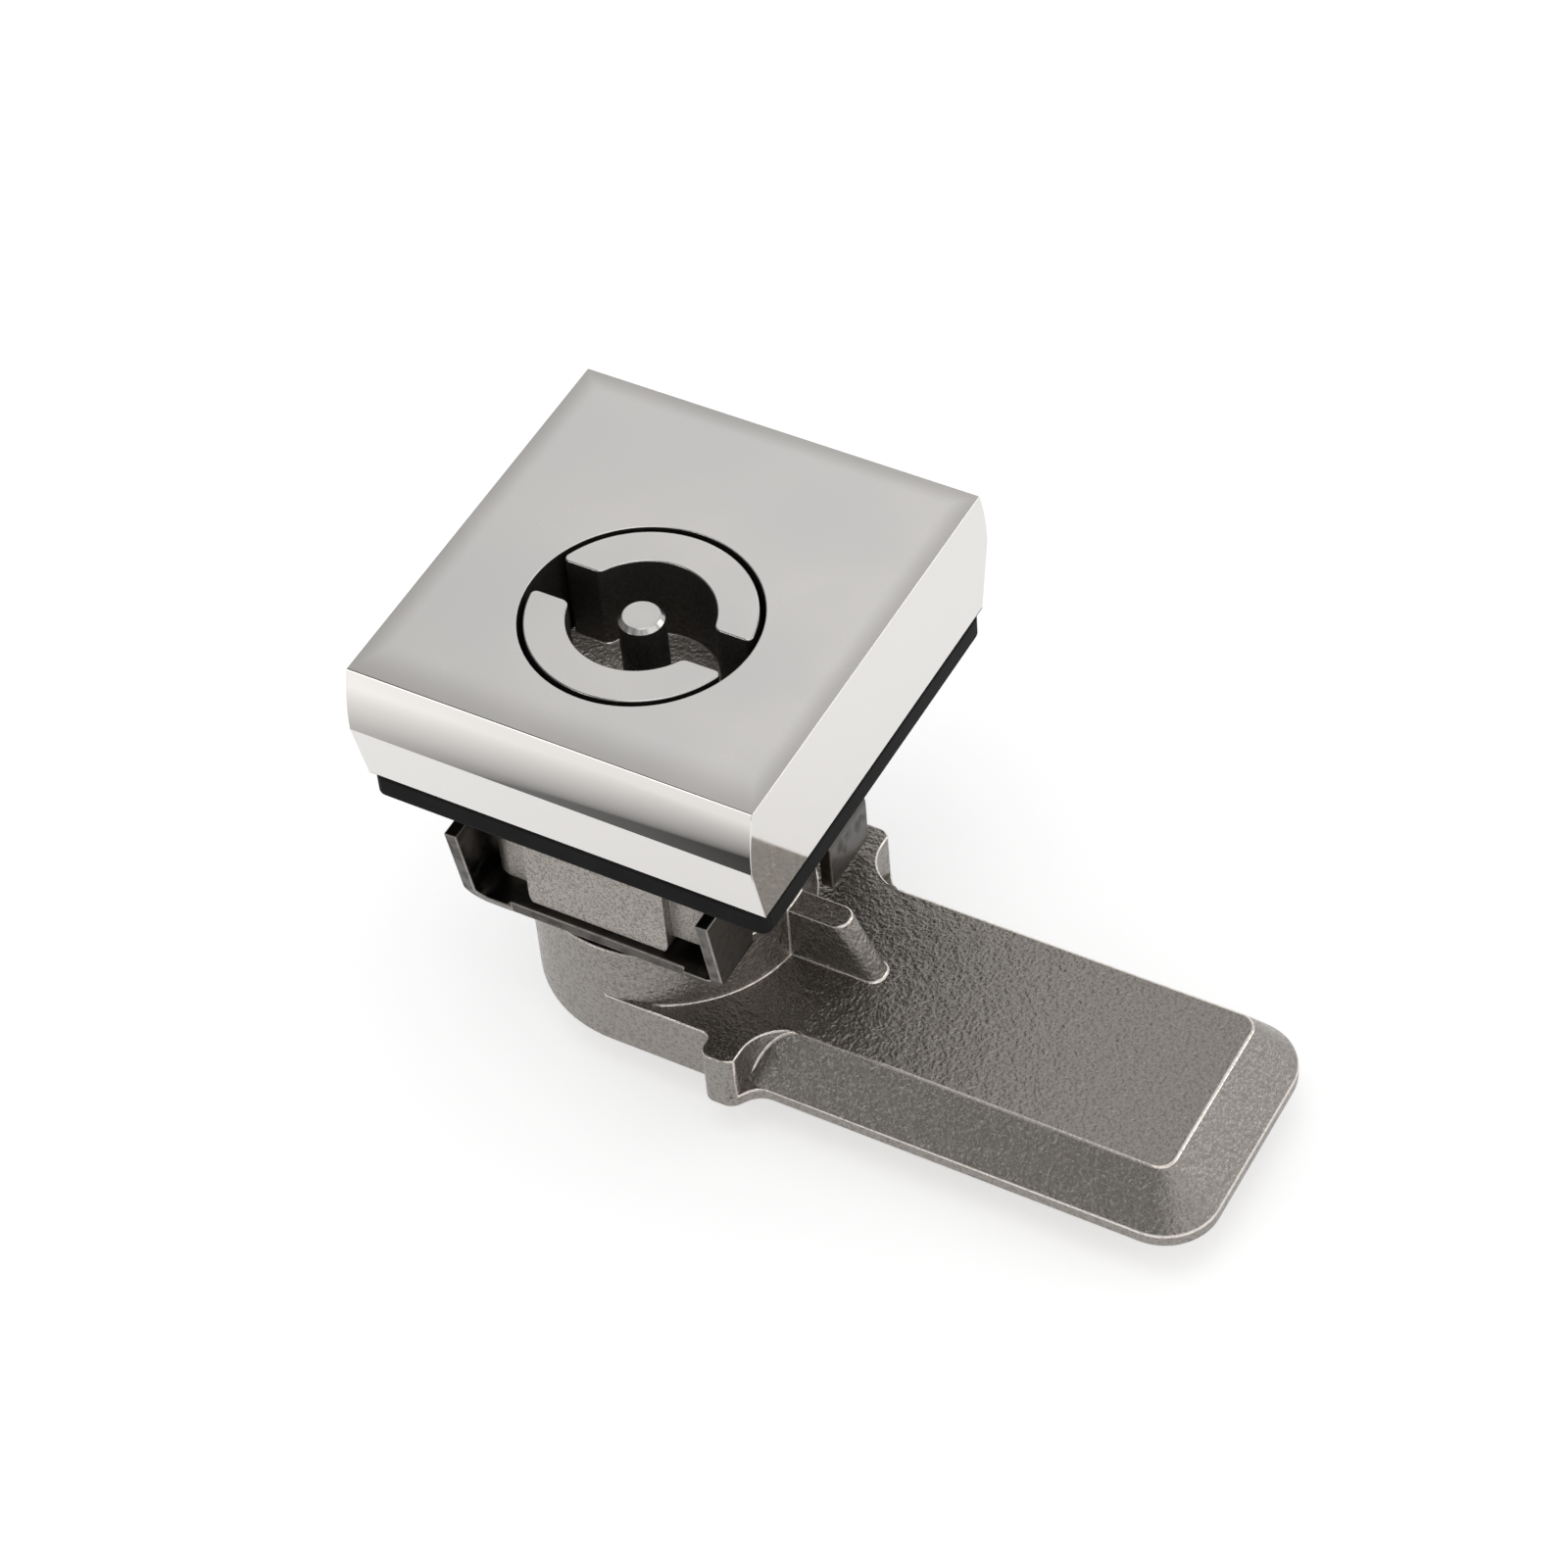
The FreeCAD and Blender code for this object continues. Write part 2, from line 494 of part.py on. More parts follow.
def bevel_cutter():
    """What the bevels take off the blade's sides and end, above the upright rim."""
    half = HUB_DIAMETER / 2
    rim = CAM_FOOT + BLADE_RIM
    top = BLADE_TOP + PAST
    grow = (top - rim) / (BLADE_TOP - rim)
    side = BLADE_SIDE_BEVEL * grow
    end = BLADE_END_BEVEL * grow
    kept = Part.makeLoft([blade_end(rim, half, BLADE_REACH, BLADE_CORNER),
                          blade_end(top, half - side, BLADE_REACH - end, BLADE_CORNER - side)],
                         True, True)
    start = EAR_END + BEVEL_EAR_GAP
    middle = half - BLADE_SIDE_BEVEL + BEVEL_RUN_OUT
    wide = middle + BEVEL_RUN_OUT
    root = block(start, start + BEVEL_RUN_OUT, -middle, middle, rim, top)
    for y in (-middle, middle):
        root = root.cut(rod(BEVEL_RUN_OUT, rim, top, start + BEVEL_RUN_OUT, y))
    blank = block(start, BLADE_REACH + PAST, -wide, wide, rim, top)
    return blank.cut(kept).cut(root)


def eared_plate():
    """Blade plate with two ears beside the hub, before the bevels are cut."""
    half = HUB_DIAMETER / 2
    height = BLADE_TOP - CAM_FOOT
    plate = Part.Face(blade_end(CAM_FOOT, half, BLADE_REACH, BLADE_CORNER)).extrude(V(0, 0, height))
    reach = half + EAR_PROUD
    root = EAR_END + EAR_LEAN
    ears = prism([V(EAR_START, -reach, CAM_FOOT), V(EAR_END, -reach, CAM_FOOT),
                  V(root, -half, CAM_FOOT), V(root, half, CAM_FOOT),
                  V(EAR_END, reach, CAM_FOOT), V(EAR_START, reach, CAM_FOOT)], V(0, 0, height))
    plate = plate.fuse([ears, rod(half, CAM_FOOT, BLADE_TOP)]).removeSplitter()
    for x, y, radius in ((EAR_START, reach, EAR_HUB_CORNER), (EAR_END, reach, EAR_TIP_CORNER),
                         (root, half, EAR_TIP_BLEND), (EAR_START, half, EAR_HUB_BLEND)):
        corners = upright_edges(plate, lambda p: near(p.x, x) and near(abs(p.y), y))
        plate = plate.makeFillet(radius, corners)
    return plate


def web():
    """Upright web on the blade's root: it runs out from the hub and slopes down."""
    top = HUB_TOP - WEB_TOP_GAP
    inner = (HUB_WELL_DIAMETER + HUB_DIAMETER) / 4
    top_reach = HUB_DIAMETER / 2 + WEB_TOP_RUN
    foot_reach = HUB_DIAMETER / 2 + WEB_FOOT_RUN
    sunk = BLADE_TOP - PAST
    body = prism([V(inner, WEB_FRONT, sunk), V(inner, WEB_FRONT, top),
                  V(top_reach, WEB_FRONT, top), V(foot_reach, WEB_FRONT, BLADE_TOP),
                  V(foot_reach, WEB_FRONT, sunk)], V(0, WEB_THICK, 0))
    sloped = []
    for y in (WEB_FRONT, WEB_FRONT + WEB_THICK):
        sloped += edges_where(body, lambda p: near(p.y, y) and p.x > top_reach - TOUCH
                              and p.z > BLADE_TOP - TOUCH)
    return body.makeFillet(WEB_ROUND, sloped)


def cam():
    """Cast cam: hub with a well for neck and ring, blade, bevels, ears and web."""
    body = eared_plate().cut(bevel_cutter())
    body = body.fuse([rod(HUB_DIAMETER / 2, CAM_FOOT, HUB_TOP), web()])
    body = body.cut(rod(HUB_WELL_DIAMETER / 2, CAM_SEAT, HUB_TOP + PAST))
    hole = TENON_WIDTH / 2 + TENON_CLEARANCE
    body = body.cut(block(-hole, hole, -hole, hole, CAM_FOOT - PAST, HUB_TOP))
    seat = WASHER_OUTER / 2 + SEAT_CLEARANCE
    return body.cut(rod(seat, CAM_FOOT - PAST, CLAMP_LEVEL)).removeSplitter()


def cam_washer():
    """Flat washer that clamps the cam on the tenon."""
    return tube(WASHER_OUTER / 2, SCREW_DIAMETER / 2 + WASHER_HOLE_CLEARANCE,
                CLAMP_LEVEL - WASHER_THICK, CLAMP_LEVEL)


def cam_spring_washer():
    """Split spring washer under the screw's head."""
    top = CLAMP_LEVEL - WASHER_THICK
    ring = tube(SPRING_WASHER_OUTER / 2, SCREW_DIAMETER / 2 + WASHER_HOLE_CLEARANCE,
                SCREW_SEAT, top)
    cut = SPRING_WASHER_CUT / 2
    lean = SPRING_WASHER_THICK / 2
    mouth = prism([V(0, -cut - lean, SCREW_SEAT), V(0, cut - lean, SCREW_SEAT),
                   V(0, cut + lean, top), V(0, -cut + lean, top)],
                  V(SPRING_WASHER_OUTER, 0, 0))
    return ring.cut(mouth)


def cam_screw():
    """Hexagon screw that holds the cam."""
    foot = SCREW_SEAT - SCREW_HEAD_HEIGHT
    flat = SCREW_HEAD_ACROSS / 2
    corner = flat / math.cos(math.radians(30))
    wide = flat + 2 * (corner - flat)
    head = prism([polar(corner, 60 * i, foot) for i in range(6)], V(0, 0, SCREW_HEAD_HEIGHT))
    bevel = Part.makeCone(flat, wide, 2 * SCREW_HEAD_BEVEL, V(0, 0, foot), AXIS_Z)
    head = head.common(bevel.fuse(rod(wide, foot + 2 * SCREW_HEAD_BEVEL, SCREW_SEAT)))
    tip = SCREW_SEAT + SCREW_LENGTH
    shank = rod(SCREW_DIAMETER / 2, SCREW_SEAT, tip)
    shank = shank.makeChamfer(SCREW_TIP_CHAMFER, edges_where(shank, lambda p: near(p.z, tip)))
    return head.fuse(shank)


PIECES = [housing, face_gasket, key_rotor, key_pin, rotor_seal, mounting_clip,
          clip_retaining_ring, thrust_washer, cam, cam_washer, cam_spring_washer, cam_screw]


def main():
    """Build every piece and write it to parts/."""
    os.makedirs("parts", exist_ok=True)
    for build in PIECES:
        shape = build()
        name = build.__name__
        box = shape.BoundBox
        print(f"{name}: {len(shape.Solids)} solid, valid {shape.isValid()}, "
              f"{shape.Volume:.0f} mm3, z {box.ZMin:.2f} to {box.ZMax:.2f}")
        shape.exportStep(f"parts/{name}.step")


main()
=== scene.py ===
"""Looks of the cabinet door lock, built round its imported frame. All lengths are metres."""
import bmesh
import bpy
import math
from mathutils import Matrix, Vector


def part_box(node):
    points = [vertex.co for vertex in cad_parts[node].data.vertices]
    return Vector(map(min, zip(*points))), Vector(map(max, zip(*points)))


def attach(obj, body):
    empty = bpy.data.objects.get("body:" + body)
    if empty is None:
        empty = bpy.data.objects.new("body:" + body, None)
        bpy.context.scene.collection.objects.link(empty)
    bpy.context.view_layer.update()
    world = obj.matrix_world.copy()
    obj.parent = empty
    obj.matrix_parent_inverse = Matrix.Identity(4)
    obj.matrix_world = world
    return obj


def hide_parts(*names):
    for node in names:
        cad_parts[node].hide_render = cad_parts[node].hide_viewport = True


MM = 0.001
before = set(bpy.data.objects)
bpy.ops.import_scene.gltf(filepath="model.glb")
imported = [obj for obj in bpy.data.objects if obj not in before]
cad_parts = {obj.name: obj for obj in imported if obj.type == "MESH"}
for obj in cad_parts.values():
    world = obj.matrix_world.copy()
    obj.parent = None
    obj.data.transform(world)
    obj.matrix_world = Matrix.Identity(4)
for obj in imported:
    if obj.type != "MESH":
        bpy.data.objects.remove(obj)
scene = bpy.context.scene
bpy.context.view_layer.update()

# Levels and sizes read from the frame
HEAD_LOW, HEAD_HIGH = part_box("housing")
_, GASKET_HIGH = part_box("face_gasket")
SCREW_LOW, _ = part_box("cam_screw")
HEAD_TOP = HEAD_HIGH.z
HEAD_FOOT = GASKET_HIGH.z
HEAD_BULGE = 0.9 * MM                 # front and back swell past the flat top
TOP_MIDDLE_Y = (HEAD_LOW.y + HEAD_HIGH.y) / 2
TOP_HALF_X = (HEAD_HIGH.x - HEAD_LOW.x) / 2
TOP_HALF_Y = (HEAD_HIGH.y - HEAD_LOW.y) / 2 - HEAD_BULGE
FLOOR_GAP = 0.1 * MM                  # the floor is this far below the screw
FLOOR_LEVEL = SCREW_LOW.z - FLOOR_GAP

# Camera of the photograph
CAMERA_PLACE = Vector((133.296, -193.336, 249.619)) * MM
CAMERA_TURN = (42.4915, 3.6795, 28.4424)
CAMERA_LENS = 110.359
SENSOR_WIDTH = 36.0
NEAREST_SEEN = 0.01


# Node trees

MIX_FACTOR, MIX_LOW, MIX_HIGH, MIX_COLOUR = 0, 6, 7, 2     # sockets of a Mix node for colours


def feed(tree, socket, value):
    """Give an input a value, or a link from another node's socket."""
    if isinstance(value, bpy.types.NodeSocket):
        tree.links.new(value, socket)
    else:
        socket.default_value = value


def node(tree, kind, inputs=None, **settings):
    """New node with its settings and inputs."""
    made = tree.nodes.new(kind)
    for key, value in settings.items():
        setattr(made, key, value)
    for key, value in (inputs or {}).items():
        feed(tree, made.inputs[key], value)
    return made


def math_node(tree, operation, *values, clamp=False):
    """Result of a Math node over values or sockets."""
    inputs = dict(enumerate(values))
    return node(tree, "ShaderNodeMath", inputs, operation=operation, use_clamp=clamp).outputs[0]


def ramp(tree, value, low, high, out_low=0.0, out_high=1.0, smooth=False):
    """A value mapped from one range to another and held at its ends."""
    inputs = {"Value": value, "From Min": low, "From Max": high,
              "To Min": out_low, "To Max": out_high}
    curve = "SMOOTHSTEP" if smooth else "LINEAR"
    mapped = node(tree, "ShaderNodeMapRange", inputs, interpolation_type=curve)
    return mapped.outputs["Result"]


def blend(tree, factor, low, high):
    """Colour between two colours or sockets."""
    inputs = {MIX_FACTOR: factor, MIX_LOW: low, MIX_HIGH: high}
    return node(tree, "ShaderNodeMix", inputs, data_type="RGBA").outputs[MIX_COLOUR]


def grey(level, warmth=0.0):
    """Neutral or slightly warm colour of one brightness."""
    return (level * (1 + warmth), level, level * (1 - warmth), 1.0)


def new_group(name, inputs, outputs):
    """Empty shader node group with named float inputs and outputs."""
    group = bpy.data.node_groups.new(name, "ShaderNodeTree")
    for key, value in inputs.items():
        socket = group.interface.new_socket(key, in_out="INPUT", socket_type="NodeSocketFloat")
        socket.default_value = value
    for key in outputs:
        group.interface.new_socket(key, in_out="OUTPUT", socket_type="NodeSocketFloat")
    return group, group.nodes.new("NodeGroupInput"), group.nodes.new("NodeGroupOutput")


# Shared effects

SAND_SHARE = 0.6                      # how much of the sand marks is added to the fine grain
PIT_RANGE = (0.34, 0.56)              # fine grain below this is a pit, and above it is none
BRUSH_TURN = math.radians(35)
BRUSH_SQUEEZE = 0.06                  # squeezes the noise's place, so its marks are long
SOFT_RANGE = (0.2, 0.8)               # this part of the noise is spread from 0 to 1


def cast_grain_group():
    """Grain of an investment casting: fine sand marks over soft lumps, and dark pits."""
    group, given, result = new_group(
        "cast_grain", {"Grain Scale": 2600.0, "Lump Scale": 700.0, "Lump Share": 0.4},
        ("Height", "Pits"))
    place = node(group, "ShaderNodeTexCoord").outputs["Object"]
    fine = node(group, "ShaderNodeTexNoise", {
        "Vector": place, "Scale": given.outputs["Grain Scale"], "Detail": 3.0, "Roughness": 0.55})
    lumps = node(group, "ShaderNodeTexNoise", {
        "Vector": place, "Scale": given.outputs["Lump Scale"], "Detail": 2.0, "Roughness": 0.5})
    sand = node(group, "ShaderNodeTexVoronoi", {
        "Vector": place, "Scale": given.outputs["Grain Scale"]}, feature="SMOOTH_F1")
    rough = math_node(group, "MULTIPLY_ADD", sand.outputs["Distance"], SAND_SHARE, fine.outputs[0])
    share = given.outputs["Lump Share"]
    height = math_node(group, "MULTIPLY_ADD", lumps.outputs[0], share, rough)
    group.links.new(height, result.inputs["Height"])
    pits = ramp(group, fine.outputs[0], *PIT_RANGE, 1.0, 0.0, smooth=True)
    group.links.new(pits, result.inputs["Pits"])
    return group


def handled_satin_group():
    """Soft clouds and short brush lines of a satin finish, both from 0 to 1."""
    group, given, result = new_group(
        "handled_satin", {"Cloud Scale": 90.0, "Line Scale": 900.0}, ("Clouds", "Lines"))
    place = node(group, "ShaderNodeTexCoord").outputs["Object"]
    clouds = node(group, "ShaderNodeTexNoise", {
        "Vector": place, "Scale": given.outputs["Cloud Scale"], "Detail": 3.0})
    stretched = node(group, "ShaderNodeMapping", {
        "Vector": place, "Rotation": (0, 0, BRUSH_TURN), "Scale": (1.0, BRUSH_SQUEEZE, 1.0)})
    lines = node(group, "ShaderNodeTexNoise", {
        "Vector": stretched.outputs[0], "Scale": given.outputs["Line Scale"], "Detail": 2.0})
    for noise, key in ((clouds, "Clouds"), (lines, "Lines")):
        spread = ramp(group, noise.outputs[0], *SOFT_RANGE, smooth=True)
        group.links.new(spread, result.inputs[key])
    return group


def border_shade_group():
    """Mask of the painted shade along the borders of the flat top: 0 at the border and 1 inside."""
    group, given, result = new_group(
        "top_border_shade", {"Width": 1.9 * MM, "Front Width": 3.6 * MM}, ("Inside",))
    place = node(group, "ShaderNodeTexCoord").outputs["Object"]
    split = node(group, "ShaderNodeSeparateXYZ", {"Vector": place}).outputs
    off_x = math_node(group, "ABSOLUTE", split["X"])
    off_y = math_node(group, "ABSOLUTE", math_node(group, "SUBTRACT", split["Y"], TOP_MIDDLE_Y))
    inside_x = math_node(group, "SUBTRACT", TOP_HALF_X, off_x)
    inside_y = math_node(group, "SUBTRACT", TOP_HALF_Y, off_y)
    depth = math_node(group, "MINIMUM", inside_x, inside_y)
    share = math_node(group, "DIVIDE", depth, given.outputs["Width"], clamp=True)
    front = math_node(group, "SUBTRACT", split["Y"], TOP_MIDDLE_Y - TOP_HALF_Y)
    front_share = math_node(group, "DIVIDE", front, given.outputs["Front Width"], clamp=True)
    nearest = math_node(group, "MINIMUM", share, front_share)
    group.links.new(ramp(group, nearest, 0.0, 1.0, smooth=True), result.inputs["Inside"])
    return group


CAST_GRAIN = cast_grain_group()
HANDLED_SATIN = handled_satin_group()
BORDER_SHADE = border_shade_group()


def effect(tree, group, values=None):
    """Outputs of a shared effect placed in a material, with its own values."""
    return node(tree, "ShaderNodeGroup", values, node_tree=group).outputs


# Kinds of finish

METAL = {"Metallic": 1.0}
POLYMER = {"Metallic": 0.0, "Specular IOR Level": 0.2}

CLOUD_SHADE = 0.96                    # the satin's dark clouds have this share of its level
CLOUD_WARMTH = 0.03
SATIN_WARMTH = 0.02
# warmth of the painted shade along the borders of the head's top
BORDER_SHADE_WARMTH = 0.035
SATIN_SPREAD = 0.15                   # share by which the clouds change the roughness
BRUSH_STRENGTH = 0.04
BRUSH_DEPTH = 0.01 * MM

POLISH_CLOUDS = {"Cloud Scale": 240.0}
POLISH_WAVES = {"Cloud Scale": 160.0}
POLISH_WARMTH = 0.025
POLISH_SPREAD = 0.3
WAVE_STRENGTH = 0.03
WAVE_DEPTH = 0.05 * MM

CAST_WARMTH = 0.07
PIT_WARMTH = 0.10
PIT_ROUGHNESS = 0.2                   # added in the pits

BLOOM_CLOUDS = {"Cloud Scale": 300.0}
BLOOM_GRAIN = {"Grain Scale": 3500.0}
BLOOM_SHADE = (0.7, 1.4)
BLOOM_STRENGTH = 0.15
BLOOM_DEPTH = 0.02 * MM


def finish(name, kind, colour, roughness, bump, strength, depth):
    """Material of one kind, with a bump.

    Colour and roughness are values, or functions of the node tree as the bump is.
    """
    material = bpy.data.materials.new(name)
    material.use_nodes = True
    tree = material.node_tree
    shader = tree.nodes["Principled BSDF"]
    for key, value in kind.items():
        shader.inputs[key].default_value = value
    for key, value in (("Base Color", colour), ("Roughness", roughness)):
        feed(tree, shader.inputs[key], value(tree) if callable(value) else value)
    bumped = node(tree, "ShaderNodeBump", {
        "Height": bump(tree), "Strength": strength, "Distance": depth})
    tree.links.new(bumped.outputs[0], shader.inputs["Normal"])
    return material


def around(tree, mask, value, spread):
    """A value that a mask lowers and raises by a share of itself."""
    return ramp(tree, mask, 0.0, 1.0, value * (1 - spread), value * (1 + spread))


def satin_steel(name, level, roughness, border_shade_level):
    """Satin face of the head or of the rotor's lands, with painted shade along the head's borders."""
    def colour(tree):
        cloud = effect(tree, HANDLED_SATIN)["Clouds"]
        middle = blend(tree, cloud, grey(level * CLOUD_SHADE, CLOUD_WARMTH), grey(level, SATIN_WARMTH))
        # painted shade: the colour darkens towards the borders of the head's top, most widely along
        # the front
        inside = effect(tree, BORDER_SHADE)["Inside"]
        return blend(tree, inside, grey(border_shade_level, BORDER_SHADE_WARMTH), middle)

    def rough(tree):
        return around(tree, effect(tree, HANDLED_SATIN)["Clouds"], roughness, SATIN_SPREAD)

    def lines(tree):
        return effect(tree, HANDLED_SATIN)["Lines"]

    return finish(name, METAL, colour, rough, lines, BRUSH_STRENGTH, BRUSH_DEPTH)


def polished_steel(name, level, roughness):
    """Polished metal with a faint unevenness."""
    def rough(tree):
        cloud = effect(tree, HANDLED_SATIN, POLISH_CLOUDS)["Clouds"]
        return around(tree, cloud, roughness, POLISH_SPREAD)

    def waves(tree):
        return effect(tree, HANDLED_SATIN, POLISH_WAVES)["Clouds"]

    colour = grey(level, POLISH_WARMTH)
    return finish(name, METAL, colour, rough, waves, WAVE_STRENGTH, WAVE_DEPTH)


def grain_of(marks, lumps, lump_share):
    """Values of a cast grain: marks and lumps in a metre, and how much the lumps add."""
    return {"Grain Scale": marks, "Lump Scale": lumps, "Lump Share": lump_share}


def cast_steel(name, level, roughness, grain, strength, depth, pit_level):
    """Cast, blasted or rolled surface with grain, pits and soft lumps."""
    def colour(tree):
        pits = effect(tree, CAST_GRAIN, grain)["Pits"]
        return blend(tree, pits, grey(level, CAST_WARMTH), grey(level * pit_level, PIT_WARMTH))

    def rough(tree):
        pits = effect(tree, CAST_GRAIN, grain)["Pits"]
        return ramp(tree, pits, 0.0, 1.0, roughness, roughness + PIT_ROUGHNESS)

    def bump(tree):
        return effect(tree, CAST_GRAIN, grain)["Height"]

    return finish(name, METAL, colour, rough, bump, strength, depth)


def matt_polymer(name, level, roughness):
    """Matt rubber or plastic with a dusty bloom."""
    def colour(tree):
        cloud = effect(tree, HANDLED_SATIN, BLOOM_CLOUDS)["Clouds"]
        dark, light = BLOOM_SHADE
        return blend(tree, cloud, grey(level * dark), grey(level * light))

    def bump(tree):
        return effect(tree, CAST_GRAIN, BLOOM_GRAIN)["Height"]

    return finish(name, POLYMER, colour, roughness, bump, BLOOM_STRENGTH, BLOOM_DEPTH)


# Finishes of the lock

# the top's borders are painted darker, as shade
SATIN_TOP = satin_steel("satin_top", level=0.70, roughness=0.3, border_shade_level=0.50)
LAND_TOP = satin_steel("land_top", level=0.70, roughness=0.3, border_shade_level=0.70)
POLISHED_SIDE = polished_steel("polished_side", level=0.80, roughness=0.05)
BLASTED_SHANK = cast_steel(
    "blasted_shank", level=0.52, roughness=0.4, grain=grain_of(6500.0, 1800.0, 0.2),
    strength=0.8, depth=0.05 * MM, pit_level=0.6)
# painted shade: near-black walls of the bores and of the key well, and the pin's side inside it
BORE_SHADE = cast_steel(
    "bore_shade", level=0.10, roughness=0.5, grain=grain_of(5000.0, 1800.0, 0.3),
    strength=0.4, depth=0.03 * MM, pit_level=0.8)
WELL_FLOOR = cast_steel(
    "well_floor", level=0.78, roughness=0.4, grain=grain_of(4000.0, 1500.0, 0.4),
    strength=1.0, depth=0.08 * MM, pit_level=0.5)
CAST_CAM = cast_steel(
    "cast_cam", level=0.30, roughness=0.22, grain=grain_of(3600.0, 1200.0, 1.2),
    strength=1.0, depth=0.09 * MM, pit_level=0.8)
# painted highlight: the cam's rounded edges are painted much lighter than its faces
CAM_EDGE_HIGHLIGHT = cast_steel(
    "cam_edge_highlight", level=0.75, roughness=0.22, grain=grain_of(4000.0, 1500.0, 0.5),
    strength=0.4, depth=0.03 * MM, pit_level=0.8)
ROLLED_SHEET = cast_steel(
    "rolled_sheet", level=0.10, roughness=0.28, grain=grain_of(900.0, 300.0, 0.6),
    strength=0.2, depth=0.02 * MM, pit_level=0.7)
# painted highlight: the clip's rounded edges are painted lighter than its dark faces
SHEET_EDGE_HIGHLIGHT = cast_steel(
    "sheet_edge_highlight", level=0.34, roughness=0.3, grain=grain_of(1500.0, 500.0, 0.5),
    strength=0.2, depth=0.02 * MM, pit_level=0.8)
PIN_END = polished_steel("pin_end", level=0.58, roughness=0.2)
PLATED_STEEL = polished_steel("plated_steel", level=0.62, roughness=0.22)
BLACK_RUBBER = matt_polymer("black_rubber", level=0.008, roughness=0.75)
RUNNING_WASHER = matt_polymer("running_washer", level=0.6, roughness=0.5)


# Which finish a face gets

FACES_UP = 0.9                        # upward part of the normal of a face that looks up
TOP_SLACK = 0.05 * MM                 # a face this near the top's level may lie on it
WALL_SLACK = 0.01 * MM                # the middle of a wall is further from its ends
BORE_RADIUS = 8.8 * MM                # the head's bore walls, painted dark as shade, lie within this
BORE_END = -2 * MM                    # and above this
PIN_SHINE = 0.5 * MM                  # depth of the pin's bright end; below it the side is painted dark as shade


def housing_face(centre, normal):
    """Finish of one face of the housing: top, sides, shank or bore, the bore painted dark as shade."""
    top, side, shank, bore = range(4)
    in_bore = math.hypot(centre.x, centre.y) < BORE_RADIUS
    if in_bore and BORE_END < centre.z < HEAD_TOP - WALL_SLACK:
        return bore
    if centre.z > HEAD_TOP - TOP_SLACK and normal.z > FACES_UP:
        return top
    return side if centre.z > HEAD_FOOT + WALL_SLACK else shank


def rotor_face(centre, normal):
    """Finish of one face of the rotor: land, floor of the well or wall, the walls painted dark as
    shade.
    """
    land, floor, wall = range(3)
    if normal.z <= FACES_UP:
        return wall
    return land if centre.z > HEAD_TOP - TOP_SLACK else floor


def pin_face(centre, normal):
    """Finish of one face of the key pin: its bright end, and its side painted dark as the shade in the
    key well.
    """
    end, side = range(2)
    return end if centre.z > HEAD_TOP - PIN_SHINE else side


def one_finish(centre, normal):
    """The same finish on every face."""
    return 0


# Pieces

WELD = 0.002 * MM                     # corners nearer than this become one
FLAT_ANGLE = math.radians(0.6)        # triangles that meet at less than this become one face
EDGE_ANGLE = math.radians(28)         # faces that meet at more than this get a rounded edge
RIDGE_ANGLE = math.radians(10)        # and on the head, a crisp one from this on
EDGE_SEGMENTS = 3
SAME_FINISH = -1                      # a rounded edge looks as the faces beside it
HUB_TANGENT = 9.8 * MM                # past this the cam's hub runs tangent into its plate

# Width of each rounded edge
HEAD_ROUND = 0.08 * MM
GASKET_ROUND = 0.25 * MM
CLIP_ROUND = 0.12 * MM
ROTOR_ROUND = 0.1 * MM
PIN_ROUND = 0.05 * MM
SEAL_ROUND = 0.2 * MM
RUNNING_ROUND = 0.06 * MM
CAM_ROUND = 0.13 * MM
FASTENER_ROUND = 0.08 * MM
SCREW_ROUND = 0.06 * MM


def mark_edges(work, crease, keep_within):
    """Mark the edges that are rounded, and those at which the shading breaks.

    Inner edges further than keep_within from the middle plane meet their neighbour at a
    tangent, with no room for a radius, and stay as they are.
    """
    rounded = work.edges.layers.float.new("bevel_weight_edge")
    for edge in work.edges:
        middle = (edge.verts[0].co + edge.verts[1].co) / 2
        tangent = not edge.is_convex and abs(middle.y) > keep_within
        bend = edge.calc_face_angle(0.0)
        edge.smooth = bend < crease
        edge[rounded] = float(bend > EDGE_ANGLE and not tangent)


def finished_mesh(cad_node, materials, choose, crease, keep_within):
    """Copy of a CAD node's mesh, with a finish for each face and its edges marked."""
    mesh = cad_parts[cad_node].data.copy()
    mesh.materials.clear()
    for material in materials:
        mesh.materials.append(material)
    work = bmesh.new()
    work.from_mesh(mesh)
    bmesh.ops.remove_doubles(work, verts=work.verts, dist=WELD)
    bmesh.ops.dissolve_limit(work, angle_limit=FLAT_ANGLE, verts=work.verts, edges=work.edges)
    for face in work.faces:
        face.smooth = True
        face.material_index = choose(face.calc_center_median(), face.normal)
    mark_edges(work, crease, keep_within)
    work.to_mesh(mesh)
    work.free()
    return mesh


def round_edges(piece, width, edge_finish):
    """Round a piece's marked edges, and leave the result as its plain mesh."""
    bevel = piece.modifiers.new("edges", "BEVEL")
    bevel.width = width
    bevel.segments = EDGE_SEGMENTS
    bevel.limit_method = "WEIGHT"
    bevel.use_clamp_overlap = False
    bevel.miter_outer = "MITER_ARC"
    bevel.material = edge_finish
    facing = piece.modifiers.new("facing", "WEIGHTED_NORMAL")
    facing.keep_sharp = True
    graph = bpy.context.evaluated_depsgraph_get()
    finished = bpy.data.meshes.new_from_object(piece.evaluated_get(graph))
    piece.modifiers.clear()
    piece.data = finished


def placed(name, data):
    """New object in the scene."""
    made = bpy.data.objects.new(name, data)
    scene.collection.objects.link(made)
    return made


